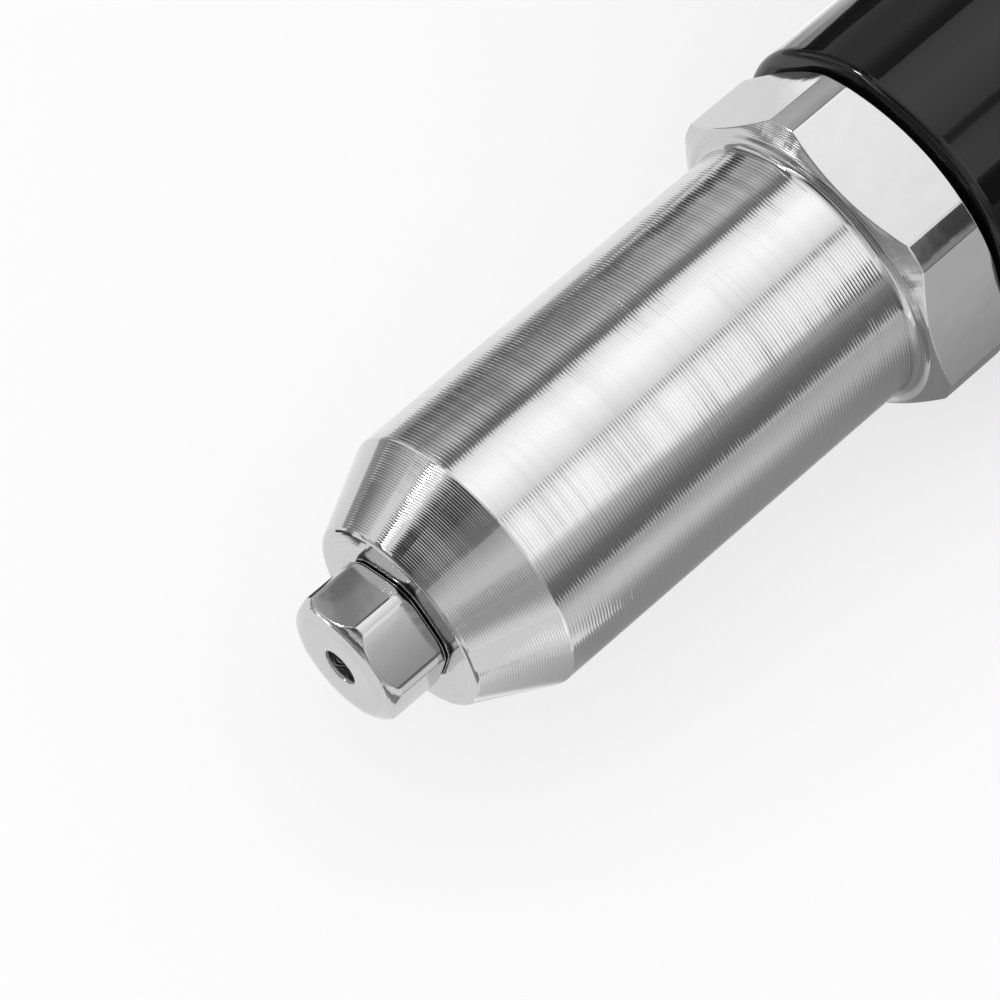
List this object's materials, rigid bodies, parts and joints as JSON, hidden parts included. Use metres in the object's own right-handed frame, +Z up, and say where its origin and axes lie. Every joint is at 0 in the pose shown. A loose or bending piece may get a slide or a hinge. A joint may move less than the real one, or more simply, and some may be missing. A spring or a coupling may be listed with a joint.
{
  "type": "rivet drill adapter",
  "caption": "Blind rivet puller for a drill: hexagonal nosepiece, turned steel sleeve with spanner hexagon, black body with side handle, toothed jaws inside and a hex drive shank.",
  "frame": {"origin": "middle of the drive shank's end face, on the tool's axis", "axes": "+X along the tool's axis from the drive shank to the nose, +Z up as the tool lies on a bench, side handle towards -Y"},
  "size_m": [0.1563, 0.1335, 0.03],
  "materials": {
    "nose_steel": "plated and polished steel",
    "sleeve_steel": "turned steel with fine ring marks",
    "black_gloss": "glossy black moulding",
    "barrel_steel": "plain machined steel",
    "hardened_steel": "blackened hardened steel",
    "jaw_steel": "hardened tool steel",
    "pusher_steel": "machined steel",
    "spring_wire": "oiled spring steel",
    "bronze": "machined bronze",
    "shaft_steel": "ground steel",
    "bearing_steel": "polished bearing steel",
    "cage_brass": "pressed brass",
    "black_steel": "blackened steel",
    "zinc_steel": "zinc plated steel",
    "grip_plastic": "moulded black grip with a fine grain"
  },
  "bodies": {
    "housing": {"nosepiece": "nose_steel", "front_sleeve": "sleeve_steel", "body_cover": "black_gloss", "barrel": "barrel_steel", "housing_washer": "bearing_steel", "rear_bush": "bronze", "end_cap": "black_steel", "handle_socket": "zinc_steel", "handle_stud": "zinc_steel", "handle_jam_nut": "zinc_steel", "handle_grip": "grip_plastic"},
    "spindle": {"lead_screw": "shaft_steel", "shaft_washer": "bearing_steel", "retaining_ring": "spring_wire"},
    "ball_set": {"bearing_cage": "cage_brass", "bearing_balls": "bearing_steel"},
    "carriage": {"jaw_case": "hardened_steel", "case_locknut": "hardened_steel", "draw_tube": "pusher_steel", "drive_nut": "bronze", "pusher_spring": "spring_wire"},
    "pusher": {"jaw_pusher": "pusher_steel"},
    "first_jaw": {"jaw_1": "jaw_steel"},
    "second_jaw": {"jaw_2": "jaw_steel"},
    "third_jaw": {"jaw_3": "jaw_steel"}
  },
  "joints": [
    {"name": "spindle_spin", "type": "hinge", "parent": "housing", "child": "spindle", "pos_m": [0.0751, 0, 0], "axis": [1, 0, 0], "range_deg": [0, 1620]},
    {"name": "ball_set_roll", "type": "hinge", "parent": "housing", "child": "ball_set", "pos_m": [0.0751, 0, 0], "axis": [1, 0, 0], "range_deg": [0, 810]},
    {"name": "carriage_slide", "type": "slide", "parent": "housing", "child": "carriage", "axis": [-1, 0, 0], "range_m": [0, 0.0135]},
    {"name": "pusher_slide", "type": "slide", "parent": "carriage", "child": "pusher", "axis": [1, 0, 0], "range_m": [0, 0.00203], "deforming": ["pusher_spring"]},
    {"name": "first_jaw_slide", "type": "slide", "parent": "carriage", "child": "first_jaw", "axis": [0.9848, 0, -0.1736], "range_m": [0, 0.0025]},
    {"name": "second_jaw_slide", "type": "slide", "parent": "carriage", "child": "second_jaw", "axis": [0.9848, -0.1504, 0.0868], "range_m": [0, 0.0025]},
    {"name": "third_jaw_slide", "type": "slide", "parent": "carriage", "child": "third_jaw", "axis": [0.9848, 0.1504, 0.0868], "range_m": [0, 0.0025]}
  ],
  "couplings": [
    {"joint": "spindle_spin", "follows": "carriage_slide", "rad_per_m": 2094.4},
    {"joint": "ball_set_roll", "follows": "carriage_slide", "rad_per_m": 1047.2},
    {"joint": "pusher_slide", "follows": "carriage_slide", "ratio": 0.15021},
    {"joint": "first_jaw_slide", "follows": "carriage_slide", "ratio": 0.18519},
    {"joint": "second_jaw_slide", "follows": "carriage_slide", "ratio": 0.18519},
    {"joint": "third_jaw_slide", "follows": "carriage_slide", "ratio": 0.18519}
  ]
}
